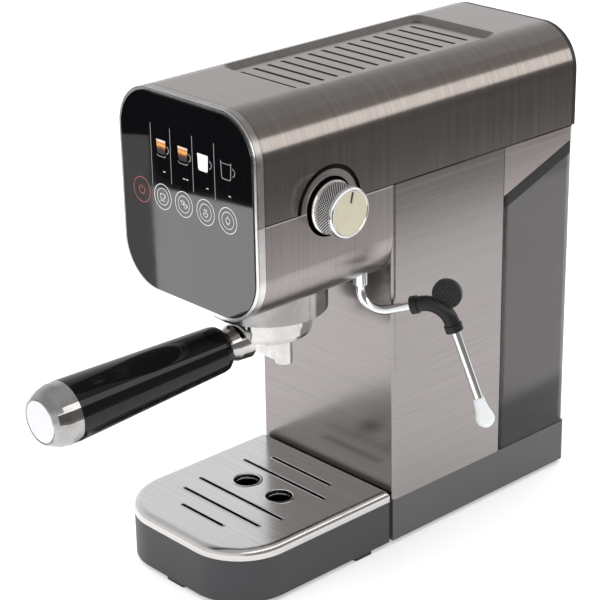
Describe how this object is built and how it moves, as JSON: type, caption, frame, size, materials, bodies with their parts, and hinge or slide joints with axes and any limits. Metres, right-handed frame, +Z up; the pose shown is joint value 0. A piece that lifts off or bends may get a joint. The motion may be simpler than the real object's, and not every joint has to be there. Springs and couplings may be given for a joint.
{
  "type": "espresso machine",
  "caption": "Slim pump espresso machine with side steam wand and knob, locking portafilter, pull-out drip tray with lift-off grate and removable rear water tank.",
  "frame": {"origin": "on the worktop, under the middle of the front rubber foot, on the centre plane", "axes": "+Z up; +Y from the portafilter handle to the water tank; the steam wand and knob are on the +X side"},
  "size_m": [0.1939, 0.4168, 0.329],
  "materials": {
    "charcoal_plastic": "moulded charcoal plastic, fine matte texture",
    "black_plastic": "matte black plastic",
    "panel_black": "glossy black touch panel",
    "gloss_black": "glossy black grip",
    "cover_steel": "brushed steel, warm dark tone",
    "brushed_steel": "brushed stainless steel",
    "steel": "plain stainless steel",
    "chrome": "polished chrome",
    "aluminium": "polished cast aluminium",
    "champagne": "pale champagne anodised face",
    "rubber": "black rubber",
    "smoked_tank": "smoked translucent plastic",
    "clear_tip": "frosted clear plastic",
    "brass": "brass",
    "hose": "silicone hose",
    "circuit": "green circuit board"
  },
  "bodies": {
    "machine": {"base_housing": "charcoal_plastic", "base_plate": "black_plastic", "base_screws": "steel", "base_feet": "rubber", "cable_gland": "black_plastic", "column_shell": "brushed_steel", "column_back": "black_plastic", "head_shell": "brushed_steel", "top_cover": "cover_steel", "knob_well": "black_plastic", "front_frame_upper": "cover_steel", "front_frame_lower": "chrome", "touch_panel": "panel_black", "panel_carrier": "black_plastic", "control_board": "circuit", "rear_panel": "black_plastic", "rear_screws": "steel", "rear_hood": "brushed_steel", "hood_floor": "black_plastic", "group_collar": "aluminium", "group_head": "aluminium", "group_gasket": "rubber", "shower_screen": "steel", "shower_screw": "steel", "boiler_block": "aluminium", "boiler_lid": "aluminium", "boiler_bolts": "steel", "pump_coil": "black_plastic", "pump_core": "brass", "pump_bracket": "steel", "suction_hose": "hose", "pressure_hose": "hose", "steam_pipe": "steel", "steam_valve": "brass", "wand_pipe": "steel", "wand_gland": "chrome"},
    "tray": {"drip_tray": "charcoal_plastic", "tray_feet": "rubber"},
    "grate": {"drip_grate": "brushed_steel"},
    "tank": {"tank_body": "smoked_tank", "tank_lid": "black_plastic", "tank_grip": "black_plastic", "tank_seal": "rubber"},
    "portafilter": {"portafilter_body": "aluminium", "filter_basket": "steel", "basket_spring": "steel", "spout": "aluminium", "handle_ferrule": "chrome", "handle_grip": "gloss_black", "handle_cap": "chrome", "cap_disc": "aluminium", "handle_rod": "steel"},
    "knob": {"steam_knob": "chrome", "knob_dial": "champagne", "valve_spindle": "steel"},
    "needle": {"valve_needle": "steel"},
    "wand": {"wand_upper_tube": "chrome", "wand_elbow": "rubber", "wand_lower_tube": "chrome"},
    "wand_tip": {"nozzle_cap": "clear_tip"}
  },
  "joints": [
    {"name": "steam_knob_turn", "type": "hinge", "parent": "machine", "child": "knob", "pos_m": [0.065, -0.073, 0.26], "axis": [1, 0, 0], "range_deg": [0, 270]},
    {"name": "needle_lift", "type": "slide", "parent": "machine", "child": "needle", "axis": [1, 0, 0], "range_m": [0, 0.00095]},
    {"name": "wand_swivel", "type": "hinge", "parent": "machine", "child": "wand", "pos_m": [0.05, -0.0323, 0.1925], "axis": [0, 0, 1], "range_deg": [-75, 0]},
    {"name": "nozzle_cap_pull", "type": "slide", "parent": "wand", "child": "wand_tip", "axis": [0.2877, 0.1661, -0.9432], "range_m": [0, 0.025]},
    {"name": "portafilter_lock", "type": "hinge", "parent": "machine", "child": "portafilter", "pos_m": [0, -0.069, 0.184], "axis": [0, 0, 1], "range_deg": [-45, 0]},
    {"name": "tray_slide", "type": "slide", "parent": "machine", "child": "tray", "axis": [0, -1, 0], "range_m": [0, 0.15]},
    {"name": "grate_lift", "type": "slide", "parent": "tray", "child": "grate", "axis": [0, 0, 1], "range_m": [0, 0.06]},
    {"name": "tank_slide", "type": "slide", "parent": "machine", "child": "tank", "axis": [0, 1, 0], "range_m": [0, 0.09]}
  ],
  "couplings": [
    {"joint": "needle_lift", "follows": "steam_knob_turn", "m_per_rad": 0.00019894}
  ]
}
